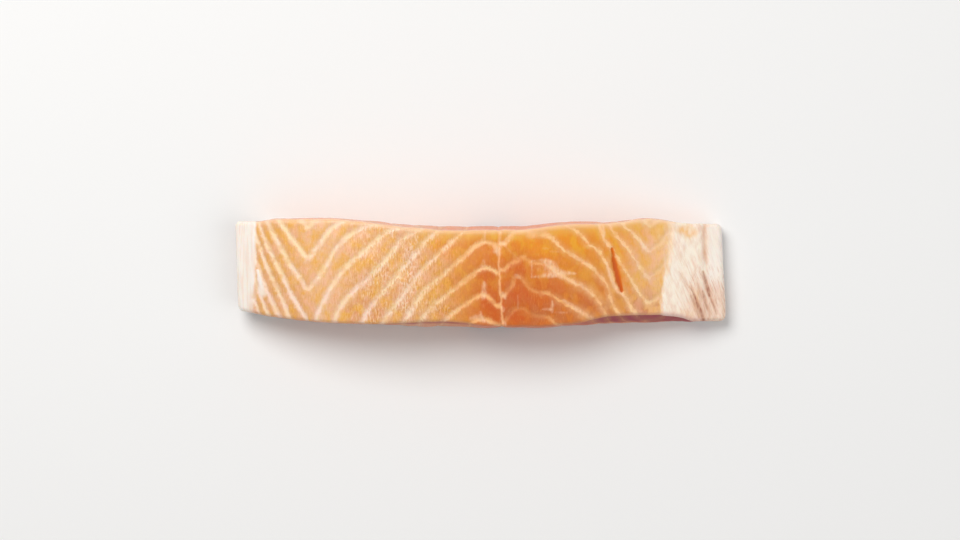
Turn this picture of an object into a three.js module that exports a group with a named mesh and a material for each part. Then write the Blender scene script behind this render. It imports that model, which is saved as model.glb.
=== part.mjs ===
// Raw salmon fillet: one portion cut straight across a side of the fish, lying on its outer side.
// Millimetres. +X runs from the fish's back to its belly, +Y across the strip, +Z up. The origin is
// under the middle of the strip, on the surface that it lies on.
import * as THREE from "three";

// Overall size
const LENGTH = 203.8; // from the back edge to the belly edge, along the middle
const BACK_END = -LENGTH / 2;
const BELLY_END = LENGTH / 2;

// Stations along the strip, as [x, value]; a smooth curve runs through them.
const TOP_HEIGHT = [
  [-102, 13.5],
  [-94.5, 17],
  [-78, 22.5],
  [-55, 27],
  [-25, 29],
  [5, 28],
  [30, 26],
  [55, 22],
  [74, 17],
  [88, 12.6],
  [92, 11.4],
  [95, 10],
  [102, 8.6],
];
// The two cut edges of the top face
const FAR_EDGE = [
  [-102, 21.5],
  [-93, 21.5],
  [-84, 22.6],
  [-66, 22.6],
  [-48, 21.4],
  [-30, 19.1],
  [-8, 18],
  [16, 18.3],
  [38, 20.5],
  [52, 20.7],
  [70, 22.8],
  [88, 20.6],
  [102, 20.5],
];
const NEAR_EDGE = [
  [-102, -15.6],
  [-88, -18.2],
  [-67, -20.5],
  [-42, -21.5],
  [-24, -20.4],
  [-13, -20.6],
  [4, -22.4],
  [22, -22.6],
  [42, -20.7],
  [54, -18.2],
  [72, -17.7],
  [88, -20.2],
  [102, -19.8],
];
// How far each cut face stands out below its top edge
const FAR_FLARE = [
  [-60, 0.3],
  [-34, 1.1],
  [-10, 1.7],
  [18, 1.3],
  [44, 0.9],
  [62, 0.2],
];
const NEAR_FLARE = [
  [-42, 0.2],
  [-22, 2.1],
  [-8, 1.6],
  [12, 0.3],
  [38, 0.7],
  [54, 3.1],
  [70, 3.4],
  [86, 0.4],
];

// Edges and ends
const CROWN = 0.7; // how much the top falls from its middle to its edges
const EDGE_RADIUS = 1.6; // along the two cut edges
const END_RADIUS = 2; // round the two short ends
const BASE_TUCK = 1.8; // how far the cut faces turn in at the bottom
const NOSE_LIFT = 6.5; // the round of the fish's back lifts the underside here
const NOSE_RUN = 20;
const BELLY_LIFT = 1;
const BELLY_RUN = 12;
const END_SKEW = 0.042; // the ends aren't quite square to the strip
const SKEW_START = 70;

// The muscle lies in blocks between thin white septa. The phase counts septa: one lies wherever it
// is a whole number. It is given along the middle line, where it falls to a V in the back muscle,
// climbs to the fish's midline and falls to a second V in the belly muscle.
const PHASE_ON_MIDDLE = [
  [-94, -1.5],
  [-89.5, -2.76],
  [-84.2, -3.88],
  [-78.8, -4.84],
  [-71.8, -5.58],
  [-66.6, -5.11],
  [-58, -4.09],
  [-44.1, -3.05],
  [-32.3, -1.96],
  [-23.9, -0.98],
  [-13.4, 0],
  [-1.3, 0.98],
  [2, 1.1],
  [7.8, 0.87],
  [14.3, 1.52],
  [27, 1.22],
  [39.5, 0.48],
  [49, -0.2],
  [53.8, -1.06],
  [60.5, -2.04],
  [68, -3.08],
  [71.4, -3.24],
  [78.5, -2.75],
];
// Distance from one septum to the next, measured across the strip
const SEPTUM_SPACING = [
  [-94, 9.4],
  [-84, 10.1],
  [-72, 12.8],
  [-44, 12.5],
  [-20, 10.4],
  [30, 10.9],
  [72, 10.9],
];
const MIDDLE_Y = 1.2;
const BACK_V = -71.8; // x of the two Vs, round which the blocks curve below the surface
const BELLY_V = 71.4;
const BLOCK_SWELL = 0.5; // from a septum's groove to the middle of a block
const FLESH_START = -94; // between the fat of the back edge and the belly lining
const FLESH_END = 80;

// The fish's midline septum, as [y, x], and the groove that it leaves
const MIDLINE = [
  [-23, 9.7],
  [-8.5, 8.3],
  [0, 7.9],
  [18.5, 7.6],
];
const MIDLINE_GROOVE = { depth: 0.4, width: 0.9 };

// A gap where two blocks have parted
const GAPE = { from: [54.6, 10.4], to: [59.4, -7], depth: 2, width: 1.5 };

// Mesh density
const COARSE_STEP = 2.1;
// Where the septa run steeply, at the midline and at the gape, as [from, to, step]
const FINE_ZONES = [
  [-95, -68, 1.2],
  [6, 10, 0.8],
  [52, 62.5, 0.85],
  [62.5, 74, 1.4],
];
const END_INSETS = [0, 0.25, 0.8, 2, 3.6];
const EDGE_INSETS = [0, 0.45, 1.5];
const TOP_SPANS = 20; // between the two sets of edge insets
const SIDE_SPANS = 7;
const BOTTOM_SPANS = 3;

const { clamp, lerp, smoothstep } = THREE.MathUtils;

/** A curve y(x) through stations that never overshoots them (monotone cubic pieces). */
function curveThrough(stations) {
  const count = stations.length;
  const rise = [];
  for (let i = 0; i < count - 1; i++) {
    rise.push(
      (stations[i + 1][1] - stations[i][1]) / (stations[i + 1][0] - stations[i][0]),
    );
  }
  const slope = stations.map((_, i) => {
    if (i === 0 || i === count - 1) return 0;
    const [before, after] = [rise[i - 1], rise[i]];
    return before * after <= 0 ? 0 : (2 * before * after) / (before + after);
  });
  return (x) => {
    const at = clamp(x, stations[0][0], stations[count - 1][0]);
    let i = 0;
    while (i < count - 2 && at > stations[i + 1][0]) i++;
    const [x0, y0] = stations[i];
    const [x1, y1] = stations[i + 1];
    const span = x1 - x0;
    const t = (at - x0) / span;
    const s = 1 - t;
    return (
      y0 * s * s * (1 + 2 * t) +
      y1 * t * t * (3 - 2 * t) +
      slope[i] * span * t * s * s -
      slope[i + 1] * span * t * t * s
    );
  };
}

const topHeight = curveThrough(TOP_HEIGHT);
const farEdge = curveThrough(FAR_EDGE);
const nearEdge = curveThrough(NEAR_EDGE);
const farFlare = curveThrough(FAR_FLARE);
const nearFlare = curveThrough(NEAR_FLARE);
const phaseOnMiddle = curveThrough(PHASE_ON_MIDDLE);
const septumSpacing = curveThrough(SEPTUM_SPACING);
const midlineX = curveThrough(MIDLINE);

/** How far a rounded edge of this radius has fallen, at a distance in from the edge. */
function roundOff(inset, radius) {
  if (inset >= radius) return 0;
  const short = radius - inset;
  return radius - Math.sqrt(radius * radius - short * short);
}

/** The septum phase at a point that lies a depth below the top face. */
function septumPhase(x, y, depth) {
  const centre = x < 0 ? BACK_V : BELLY_V;
  const side = Math.sign(x - centre) || 1;
  const onTop = centre + side * Math.hypot(x - centre, depth);
  return phaseOnMiddle(onTop) + (MIDDLE_Y - y) / septumSpacing(onTop);
}

/** The swell of the muscle block under a point: 0 on a septum's groove, up to BLOCK_SWELL. */
function blockSwell(x, y, depth) {
  const inFlesh =
    smoothstep(x, FLESH_START - 2, FLESH_START + 2) *
    (1 - smoothstep(x, FLESH_END - 5, FLESH_END + 3));
  const across = Math.sin(Math.PI * septumPhase(x, y, depth)) ** 2;
  return BLOCK_SWELL * inFlesh * (across - 1);
}

/** How deep the midline's groove is at a point of the top face. */
function midlineDepth(x, y) {
  const off = (x - midlineX(y)) / MIDLINE_GROOVE.width;
  return MIDLINE_GROOVE.depth * Math.exp(-off * off);
}

/** How deep the gape is at a point of the top face. */
function gapeDepth(x, y) {
  const start = new THREE.Vector2(...GAPE.from);
  const along = new THREE.Vector2(...GAPE.to).sub(start);
  const point = new THREE.Vector2(x, y).sub(start);
  const t = point.dot(along) / along.lengthSq();
  if (t <= 0 || t >= 1) return 0;
  const off = point.cross(along) / along.length() / GAPE.width;
  return GAPE.depth * Math.sqrt(Math.sin(Math.PI * t)) * Math.exp(-off * off);
}

/** How far the underside is off the table. */
function baseLift(x) {
  const nose = clamp((BACK_END + NOSE_RUN - x) / NOSE_RUN, 0, 1);
  const belly = clamp((x - BELLY_END + BELLY_RUN) / BELLY_RUN, 0, 1);
  return NOSE_LIFT * nose * nose + BELLY_LIFT * belly * belly;
}

/** Insets from one edge to the other: close together at both edges, even between them. */
function insetsAcross(width) {
  const inner = EDGE_INSETS.at(-1);
  const insets = [...EDGE_INSETS];
  for (let i = 1; i < TOP_SPANS; i++) insets.push(lerp(inner, width - inner, i / TOP_SPANS));
  for (const inset of EDGE_INSETS.toReversed()) insets.push(width - inset);
  return insets;
}

/** One cross-section of the strip, as points in order round it, seen from the belly end. */
function sectionAt(x) {
  const endInset = Math.min(x - BACK_END, BELLY_END - x);
  const endDrop = roundOff(endInset, END_RADIUS);
  const far = farEdge(x) - endDrop;
  const near = nearEdge(x) + endDrop;
  const width = far - near;
  const base = baseLift(x);
  const height = topHeight(x) - endDrop;
  const points = [];
  const skew = END_SKEW * smoothstep(Math.abs(x), SKEW_START, BELLY_END);
  const add = (y, z) => points.push(new THREE.Vector3(x - skew * y, y, z));

  for (const inset of insetsAcross(width)) {
    const y = near + inset;
    const off = (2 * inset) / width - 1;
    const edgeDrop = roundOff(Math.min(inset, width - inset), EDGE_RADIUS);
    const grooves = midlineDepth(x, y) + gapeDepth(x, y);
    const relief = endDrop > 0 ? 0 : blockSwell(x, y, 0) - grooves;
    add(y, height - CROWN * off * off - edgeDrop + relief);
  }
  const edgeZ = height - CROWN - EDGE_RADIUS;
  const sideAt = (t, flare) => {
    const stand = flare * Math.sin((Math.PI / 2) * Math.min(1, t / 0.55));
    return stand - BASE_TUCK * smoothstep(t, 0.7, 1) ** 2;
  };
  const addSide = (y, out, flare, t) => {
    const z = lerp(edgeZ, base, t);
    const swell = endDrop > 0 ? 0 : 0.5 * blockSwell(x, y, height - z) * Math.sin(Math.PI * t);
    add(y + out * (sideAt(t, flare) + swell), z);
  };
  for (let i = 1; i < SIDE_SPANS; i++) addSide(far, 1, farFlare(x), i / SIDE_SPANS);
  for (let i = 0; i <= BOTTOM_SPANS; i++) {
    const farFoot = far + sideAt(1, farFlare(x));
    const nearFoot = near - sideAt(1, nearFlare(x));
    add(lerp(farFoot, nearFoot, i / BOTTOM_SPANS), base);
  }
  for (let i = SIDE_SPANS - 1; i > 0; i--) addSide(near, -1, nearFlare(x), i / SIDE_SPANS);
  return points;
}

/** The x of every cross-section, closest together at the ends and where the septa are steep. */
function sectionPlaces() {
  const first = BACK_END + END_INSETS.at(-1);
  const last = BELLY_END - END_INSETS.at(-1);
  const stepAt = (x) =>
    FINE_ZONES.find(([from, to]) => x >= from && x < to)?.[2] ?? COARSE_STEP;
  const places = END_INSETS.slice(0, -1).map((inset) => BACK_END + inset);
  for (let x = first; x < last - COARSE_STEP / 2; x += stepAt(x)) places.push(x);
  for (const inset of END_INSETS.toReversed()) places.push(BELLY_END - inset);
  return places;
}

/** Skins a row of cross-sections with equal counts of points, and closes both ends. */
function skin(sections) {
  const around = sections[0].length;
  const index = [];
  for (let i = 0; i < sections.length - 1; i++) {
    for (let j = 0; j < around; j++) {
      const next = (j + 1) % around;
      const [a, b] = [i * around + j, i * around + next];
      const [c, d] = [a + around, b + around];
      index.push(a, d, b, a, c, d);
    }
  }
  const cap = (row, outward) => {
    const outline = sections[row].map((p) => new THREE.Vector2(p.y, p.z));
    for (const [a, b, c] of THREE.ShapeUtils.triangulateShape(outline, [])) {
      const corners = outward ? [a, b, c] : [a, c, b];
      index.push(...corners.map((corner) => row * around + corner));
    }
  };
  cap(0, false);
  cap(sections.length - 1, true);
  const geometry = new THREE.BufferGeometry().setFromPoints(sections.flat());
  geometry.setIndex(index);
  return geometry;
}

/** The strip, moved so that the origin is under its middle. */
function filletGeometry() {
  const geometry = skin(sectionPlaces().map(sectionAt));
  geometry.computeBoundingBox();
  const { min, max } = geometry.boundingBox;
  geometry.translate(-(min.x + max.x) / 2, -(min.y + max.y) / 2, -min.z);
  geometry.computeVertexNormals();
  return geometry;
}

const salmonFlesh = new THREE.MeshStandardMaterial({
  color: 0xe39a5c,
  roughness: 0.42,
  metalness: 0,
});

const fillet = new THREE.Mesh(filletGeometry(), salmonFlesh);
fillet.name = "fillet";

const part = new THREE.Group();
part.add(fillet);

export default part;
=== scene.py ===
"""A raw salmon fillet: one strip cut straight across a side of the fish, lying on its outer side.

Shapes are worked out in millimetres in the strip's own frame, +X from the fish's back to its
belly, +Y across the strip and +Z up, and go into the scene in metres.
"""
import logging
import math
from collections.abc import Mapping
from dataclasses import dataclass
from enum import Enum

import bpy
import numpy as np
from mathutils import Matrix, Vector


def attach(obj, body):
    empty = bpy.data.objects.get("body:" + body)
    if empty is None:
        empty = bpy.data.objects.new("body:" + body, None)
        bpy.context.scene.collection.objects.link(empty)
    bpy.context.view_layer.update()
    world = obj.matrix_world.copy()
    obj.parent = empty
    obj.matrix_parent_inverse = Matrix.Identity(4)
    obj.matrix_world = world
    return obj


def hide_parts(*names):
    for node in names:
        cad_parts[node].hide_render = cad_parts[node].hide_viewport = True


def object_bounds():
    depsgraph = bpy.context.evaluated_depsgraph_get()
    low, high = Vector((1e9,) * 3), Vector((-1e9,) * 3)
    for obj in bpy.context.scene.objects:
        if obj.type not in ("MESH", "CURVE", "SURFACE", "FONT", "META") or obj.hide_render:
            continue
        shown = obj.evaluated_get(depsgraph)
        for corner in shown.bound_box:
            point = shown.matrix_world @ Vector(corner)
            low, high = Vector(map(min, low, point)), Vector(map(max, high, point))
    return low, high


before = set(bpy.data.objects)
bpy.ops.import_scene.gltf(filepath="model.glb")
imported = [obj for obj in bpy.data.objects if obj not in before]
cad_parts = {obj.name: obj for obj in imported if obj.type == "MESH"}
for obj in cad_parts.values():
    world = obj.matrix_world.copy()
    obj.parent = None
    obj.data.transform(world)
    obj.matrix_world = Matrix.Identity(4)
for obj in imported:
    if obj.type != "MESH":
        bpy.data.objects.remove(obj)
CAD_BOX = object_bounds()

LOG = logging.getLogger("salmon_fillet")
MM = 0.001

Station = tuple[float, float]
Tone = tuple[int, int, int]
Field = np.ndarray
Band = tuple[float, float, float, float]


# ----------------------------------------------------------------------------------------------
# Curves, marks and unevenness, in millimetres
# ----------------------------------------------------------------------------------------------


def ease(value: Field, low: float, high: float) -> Field:
    """A smooth rise from 0 at low to 1 at high.

    Args:
        value: the numbers to rise along.
        low: where the rise starts.
        high: where it ends.

    Returns:
        An array of numbers from 0 to 1.
    """
    t = np.clip((value - low) / (high - low), 0.0, 1.0)
    return t * t * (3 - 2 * t)


def swell(value: Field, band: Band) -> Field:
    """A smooth rise over a band's first two numbers, and a fall again over its last two."""
    return ease(value, band[0], band[1]) * (1 - ease(value, band[2], band[3]))


def round_off(inset: Field, radius: float) -> Field:
    """How far a rounded edge has fallen, at a distance in from that edge."""
    short = np.clip(radius - inset, 0.0, radius)
    return radius - np.sqrt(radius**2 - short**2)


def unroll(share: Field, width: Field, radius: float) -> Field:
    """Spreads rows evenly along a width whose two edges are rounded.

    Args:
        share: how far along the surface each row is, from 0 to 1.
        width: the width from edge to edge.
        radius: the radius of both edges.

    Returns:
        Each row's distance from the first edge, measured straight across.
    """
    arc = radius * math.pi / 2
    total = width + 2 * (arc - radius)
    run = np.minimum(share, 1 - share) * total
    inset = np.where(
        run < arc,
        radius * (1 - np.cos(np.minimum(run, arc) / radius)),
        radius + run - arc,
    )
    return np.where(share < 0.5, inset, width - inset)


@dataclass(frozen=True)
class Course:
    """A smooth curve through stations that never overshoots them."""

    stations: tuple[Station, ...]

    def at(self, place: Field) -> Field:
        """The curve's value, which stays level beyond its ends.

        Args:
            place: where the curve is read.

        Returns:
            Its value at each place.
        """
        x, y = np.array(self.stations, float).T
        rise = np.diff(y) / np.diff(x)
        before, after = rise[:-1], rise[1:]
        same_way = before * after > 0
        both = np.where(same_way, before + after, 1.0)
        slope = np.zeros_like(x)
        slope[1:-1] = np.where(same_way, 2 * before * after / both, 0.0)
        place = np.clip(place, x[0], x[-1])
        i = np.clip(np.searchsorted(x, place, side="right") - 1, 0, len(x) - 2)
        span = x[i + 1] - x[i]
        t = (place - x[i]) / span
        s = 1 - t
        return (
            y[i] * s * s * (1 + 2 * t)
            + y[i + 1] * t * t * (3 - 2 * t)
            + slope[i] * span * t * s * s
            - slope[i + 1] * span * t * t * s
        )


def course(*stations: Station) -> Course:
    """The smooth curve through these stations."""
    return Course(stations)


@dataclass(frozen=True)
class Stroke:
    """A mark drawn along a short path on the top face.

    Attributes:
        path: the points that it runs through.
        width: how wide it is at its first point.
        strength: how strong it is along its middle.
        taper: the share of its width that it loses toward both ends.
        last: how wide it is at its last point, if not as at its first.
        taper_run: the share of its length over which it tapers at each end.
    """

    path: tuple[Station, ...]
    width: float
    strength: float = 1.0
    taper: float = 0.35
    last: float | None = None
    taper_run: float = 0.35

    def at(self, x: Field, y: Field) -> Field:
        """How strong the mark is.

        Args:
            x: places along the strip.
            y: places across it.

        Returns:
            A number from 0 to the mark's strength for each place.
        """
        points = np.array(self.path, float)
        steps = np.linalg.norm(np.diff(points, axis=0), axis=1)
        run = np.concatenate([[0.0], np.cumsum(steps)])
        nearest = np.full(x.shape, 1e9)
        along = np.zeros(x.shape)
        for i, step in enumerate(steps):
            unit = (points[i + 1] - points[i]) / step
            dx, dy = x - points[i, 0], y - points[i, 1]
            t = np.clip(dx * unit[0] + dy * unit[1], 0.0, step)
            away = np.hypot(dx - t * unit[0], dy - t * unit[1])
            closer = away < nearest
            nearest = np.where(closer, away, nearest)
            along = np.where(closer, run[i] + t, along)
        end = np.minimum(along, run[-1] - along) / run[-1]
        last = self.width if self.last is None else self.last
        width = self.width + (last - self.width) * along / run[-1]
        width = width * (1 - self.taper * (1 - ease(end, 0.0, self.taper_run)))
        return self.strength * np.exp(-((nearest / width) ** 2))


def drawn(strokes: tuple[Stroke, ...], x: Field, y: Field) -> Field:
    """Several strokes laid over each other, which together never pass full strength.

    Args:
        strokes: the strokes.
        x: places along the strip.
        y: places across it.

    Returns:
        How strong they are together at each place.
    """
    left = np.ones(x.shape)
    for stroke in strokes:
        left = left * (1 - stroke.at(x, y))
    return 1 - left


@dataclass(frozen=True)
class Unevenness:
    """A smooth random field from -1 to 1, the same on every run.

    Attributes:
        seed: picks the field.
        size: how large its lumps are along each axis.
        count: how many lumps it has along each axis before it repeats.
        shift: how many lumps it is moved by.
    """

    seed: int
    size: tuple[float, float, float]
    count: int = 64
    shift: float = 31.7

    def at(self, x: Field, y: Field, z: Field) -> Field:
        """The field's values.

        Args:
            x: places along the strip.
            y: places across it.
            z: places above the table.

        Returns:
            Its value at each place.
        """
        lattice = np.random.default_rng(self.seed).uniform(-1, 1, (self.count,) * 3)
        place = np.stack([x, y, z]) / np.array(self.size)[:, None] + self.shift
        cell = np.floor(place).astype(int)
        t = place - cell
        t = t * t * (3 - 2 * t)
        total = np.zeros(x.shape)
        for corner in range(8):
            pick = [(corner >> axis) & 1 for axis in range(3)]
            weight = np.ones(x.shape)
            for axis in range(3):
                weight *= t[axis] if pick[axis] else 1 - t[axis]
            index = tuple((cell[axis] + pick[axis]) % self.count for axis in range(3))
            total += weight * lattice[index]
        return total


# ----------------------------------------------------------------------------------------------
# The form of the strip
# ----------------------------------------------------------------------------------------------


@dataclass(frozen=True)
class Points:
    """Points of the strip's surface, each with its depth below the top face."""

    x: Field
    y: Field
    z: Field
    depth: Field


@dataclass(frozen=True)
class StripForm:
    """The strip's outer form: a thick middle, two cut faces, and two thinner rounded ends.

    Attributes:
        length: from the back edge to the belly edge, along the middle.
        top: how high the top face lies.
        far_edge, near_edge: where the two cut edges of the top face lie.
        far_flare, near_flare: how far each cut face stands out below its edge.
        crown: how much the top face falls from its middle to its edges.
        edge_radius, end_radius: of the cut edges, and of both ends.
        flare_share: the share of the way down at which a cut face stands out furthest.
        base_tuck, tuck_share: how far it turns in at the bottom, and where that starts.
        nose_lift, nose_run: how far the underside rises at the back edge, and over what length.
        belly_lift, belly_run: the same at the belly edge.
        end_skew, skew_start: how far both ends slant, and where that starts.
    """

    length: float = 203.8
    top: Course = course(
        (-102, 13.5), (-94.5, 17), (-78, 22.5), (-55, 27), (-25, 29), (5, 28), (30, 26),
        (55, 22), (74, 17), (88, 12.6), (92, 11.4), (95, 10), (102, 8.6),
    )
    far_edge: Course = course(
        (-102, 21.5), (-93, 21.5), (-84, 22.6), (-66, 22.6), (-48, 21.4), (-30, 19.1),
        (-8, 18), (16, 18.3), (38, 20.5), (52, 20.7), (70, 22.8), (88, 20.6), (102, 20.5),
    )
    near_edge: Course = course(
        (-102, -15.6), (-88, -18.2), (-67, -20.5), (-42, -21.5), (-24, -20.4),
        (-13, -20.6), (4, -22.4), (22, -22.6), (42, -20.7), (54, -18.2), (72, -17.6),
        (80, -17.9), (84, -18.6), (89, -20.0), (102, -19.8),
    )
    far_flare: Course = course(
        (-60, 0.3), (-34, 1.1), (-10, 1.7), (18, 1.3), (44, 0.9), (62, 0.2)
    )
    near_flare: Course = course(
        (-42, 0.2), (-22, 2.1), (-8, 1.6), (12, 0.3), (38, 0.7), (54, 3.1), (70, 3.4),
        (80, 2.5), (85, 1.4), (90, 0.2),
    )
    crown: float = 0.7
    edge_radius: float = 1.6
    end_radius: float = 2.0
    flare_share: float = 0.55
    base_tuck: float = 1.8
    tuck_share: float = 0.7
    nose_lift: float = 6.5
    nose_run: float = 20.0
    belly_lift: float = 1.0
    belly_run: float = 12.0
    end_skew: float = 0.042
    skew_start: float = 70.0

    def base(self, x: Field) -> Field:
        """How far the underside is off the table.

        Args:
            x: places along the strip.

        Returns:
            The height at each place.
        """
        half = self.length / 2
        nose = np.clip((self.nose_run - half - x) / self.nose_run, 0, 1)
        belly = np.clip((x - half + self.belly_run) / self.belly_run, 0, 1)
        return self.nose_lift * nose**2 + self.belly_lift * belly**2

    def stand(self, t: Field, flare: Field) -> Field:
        """How far a cut face stands out of its top edge, a share t of the way down."""
        out = flare * np.sin(np.pi / 2 * np.minimum(1, t / self.flare_share))
        return out - self.base_tuck * ease(t, self.tuck_share, 1.0) ** 2

    def place(self, u: Field, v: Field, w: Field) -> Points:
        """Puts the points of a unit block on the strip.

        Args:
            u: share of the way from the back end to the belly end.
            v: share of the way from the near cut face to the far one.
            w: 1 on the top face, 0 on the underside, between them on the sides.

        Returns:
            The points' places.
        """
        half = self.length / 2
        x = unroll(u, np.full(u.shape, self.length), self.end_radius) - half
        drop = round_off(np.minimum(x + half, half - x), self.end_radius)
        far, near = self.far_edge.at(x) - drop, self.near_edge.at(x) + drop
        inset = unroll(v, far - near, self.edge_radius)
        off = 2 * inset / (far - near) - 1
        edge = round_off(np.minimum(inset, far - near - inset), self.edge_radius)
        face = self.top.at(x) - drop - self.crown * off**2
        top = face - edge
        t = 1 - w
        low = near - self.stand(t, self.near_flare.at(x))
        high = far + self.stand(t, self.far_flare.at(x))
        across = (1 - t) * inset / (far - near) + t * v
        y = low + (high - low) * across
        z = top + (self.base(x) - top) * t
        skew = self.end_skew * ease(np.abs(x), self.skew_start, half)
        return Points(x - skew * y, y, z, face - z)


# ----------------------------------------------------------------------------------------------
# What the strip is made of
# ----------------------------------------------------------------------------------------------


class Trait(Enum):
    """The numbers that the flesh's finish reads at each point of the surface."""

    PHASE = "phase"
    SPREAD = "spread"
    MIDLINE = "midline"
    LINING = "lining"
    FAT = "fat"
    HEIGHT = "height"
    DEPTH = "depth"
    GAPE = "gape"
    PALE = "pale"
    AMBER = "amber"
    DEEP = "deep"
    VEIN = "vein"
    FOLD = "fold"
    ROUGH = "rough"
    FROM_FAR = "from_far"
    FROM_NEAR = "from_near"


@dataclass(frozen=True)
class Bend:
    """A place where the septa swing off their even course."""

    x: float
    y: float
    reach_x: float
    reach_y: float
    phase: float

    def at(self, x: Field, y: Field) -> Field:
        """The change of phase that the bend makes."""
        return self.phase * np.exp(
            -(((x - self.x) / self.reach_x) ** 2) - ((y - self.y) / self.reach_y) ** 2
        )


@dataclass(frozen=True)
class EdgeSwing:
    """A stretch of a cut face close to which the septa swing off their even course."""

    phase: float
    reach: float
    along: Band

    def at(self, x: Field, inset: Field) -> Field:
        """The change of phase at a distance in from the cut face."""
        return self.phase * np.exp(-np.maximum(inset, 0) / self.reach) * swell(x, self.along)


@dataclass(frozen=True)
class Muscle:
    """The muscle blocks. Their phase counts septa: one lies wherever it is a whole number.

    Attributes:
        form: the strip that they fill.
        back, belly: the phase along the top face, on either side of the midline.
        spacing: how far apart the septa lie, measured across the strip.
        midline: where the fish's midline crosses the strip.
        bends, far_swing, near_swing: where the septa leave their even course.
        centre: the place across the strip at which back and belly give the phase.
        halves_meet: the place along it that parts the back's bends from the belly's.
        back_axis, belly_axis: the tips of the two Vs, about which the blocks curl downwards.
        roundness: how quickly they curl.
        swing_top, swing_depth: the depth to which the swings keep up, and over which they fade.
        spread_limits: the least and the most that the distance between septa counts as.
        probe: the step over which the phase's slope is measured.
    """

    form: StripForm
    back: Course = course(
        (-94.5, -1.35), (-93.7, -1.55), (-89.5, -2.76), (-84.2, -3.88), (-78.8, -4.84),
        (-74.8, -5.3), (-71.8, -5.58), (-69.8, -5.44), (-66.6, -5.11), (-58, -4.09),
        (-44.1, -3.05), (-32.3, -1.96), (-23.9, -0.98), (-13.4, 0), (-5, 0.7),
        (-1.3, 0.98), (2, 1.1), (4.6, 1.03), (7.8, 0.87),
    )
    belly: Course = course(
        (9.4, 1.03), (12.5, 1.34), (14.9, 1.52), (17.2, 1.52), (21.4, 1.3), (27.3, 1.2),
        (32.3, 0.88), (39.5, 0.48), (45.8, 0.12), (49.1, -0.2), (51.7, -0.6),
        (53.8, -1.06), (57.1, -1.55), (60.5, -2.04), (67.6, -3.02), (69.6, -3.22),
        (70.6, -3.26), (71.8, -3.2), (75.6, -2.93), (78.5, -2.6),
    )
    spacing: Course = course(
        (-94, 9.4), (-89, 9.6), (-84, 10.1), (-79, 11.7), (-72, 12.8), (-60, 12.7),
        (-44, 12.5), (-32, 11.6), (-20, 10.4), (-5, 10.7), (40, 10.9), (60, 11.3),
        (72, 10.9),
    )
    midline: Course = course((-23, 9.1), (-14, 8.8), (-8.5, 8.3), (0, 7.9), (18.5, 7.6))
    bends: tuple[Bend, ...] = (
        Bend(-33, 14.5, 6, 4, 0.18),
        Bend(-21, -15, 13, 10, 0.15),
        Bend(-7, -21, 7, 6, 0.16),
        Bend(6.5, -13, 4.5, 6, -0.26),
        Bend(28, 15, 10, 5, 0.15),
        Bend(14.5, 4.3, 3, 3, -0.14),
        Bend(45, 12, 4, 3.5, -0.2),
        Bend(58.5, 21, 6, 8, -0.42),
        Bend(53.2, 9, 1.2, 3, 0.25),
        Bend(24.5, -8, 5, 3, -0.1),
        Bend(15.5, -1.5, 2.5, 3, 0.25),
        Bend(51.5, 14, 2.5, 7, -0.25),
        Bend(52.2, -6, 2.5, 4.5, 0.25),
        Bend(56, -4.5, 2, 4, -0.15),
        Bend(46, -10, 6, 8, 0.06),
    )
    far_swing: EdgeSwing = EdgeSwing(-0.6, 2.5, (-68, -60, -30, -18))
    near_swing: EdgeSwing = EdgeSwing(-0.38, 5.0, (-73, -71, -50, -38))
    centre: float = 1.155
    halves_meet: float = 8.0
    back_axis: float = -71.8
    belly_axis: float = 70.6
    roundness: float = 0.8
    swing_top: float = 1.0
    swing_depth: float = 5.0
    spread_limits: tuple[float, float] = (2.5, 16.0)
    probe: float = 0.05

    def _rings(self, on_top: Course, axis: float, x: Field, depth: Field) -> Field:
        """The phase round one of the two long axes, where the blocks curve below the top.

        Args:
            on_top: the phase along the top face.
            axis: where the axis lies along the strip.
            x: places along the strip.
            depth: distances below the top face.

        Returns:
            The phase at each point.
        """
        reach = np.hypot(x - axis, self.roundness * depth)
        side = (x - axis) / np.maximum(reach, 1e-6)
        share = ease(side, -1.0, 1.0)
        return on_top.at(axis - reach) * (1 - share) + on_top.at(axis + reach) * share

    def phase(self, x: Field, y: Field, depth: Field) -> Field:
        """The septum count at each point.

        Args:
            x: place along the strip.
            y: place across it.
            depth: distance below the top face.

        Returns:
            A number for each point, which is whole wherever a septum lies.
        """
        in_back = x < self.midline.at(y)
        total = np.where(
            in_back,
            self._rings(self.back, self.back_axis, x, depth),
            self._rings(self.belly, self.belly_axis, x, depth),
        )
        total = total + (self.centre - y) / self.spacing.at(x)
        swing = self.far_swing.at(x, self.form.far_edge.at(x) - y)
        swing += self.near_swing.at(x, y - self.form.near_edge.at(x))
        for bend in self.bends:
            swing += bend.at(x, y) * (in_back == (bend.x < self.halves_meet))
        deep = np.maximum(depth - self.swing_top, 0)
        return total + swing * np.exp(-deep / self.swing_depth)

    def spread(self, at: Points, normals: Field) -> Field:
        """The distance along the surface from one septum to the next.

        Args:
            at: the points.
            normals: the surface's direction at each of them.

        Returns:
            The distance at each point.
        """
        x, y, depth, step = at.x, at.y, at.depth, self.probe
        slope = np.stack(
            [
                self.phase(x + step, y, depth) - self.phase(x - step, y, depth),
                self.phase(x, y + step, depth) - self.phase(x, y - step, depth),
                self.phase(x, y, depth - step) - self.phase(x, y, depth + step),
            ],
            axis=1,
        ) / (2 * step)
        slope -= normals * np.sum(slope * normals, axis=1)[:, None]
        steepness = np.maximum(np.linalg.norm(slope, axis=1), 1e-3)
        return np.clip(1 / steepness, *self.spread_limits)


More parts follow.
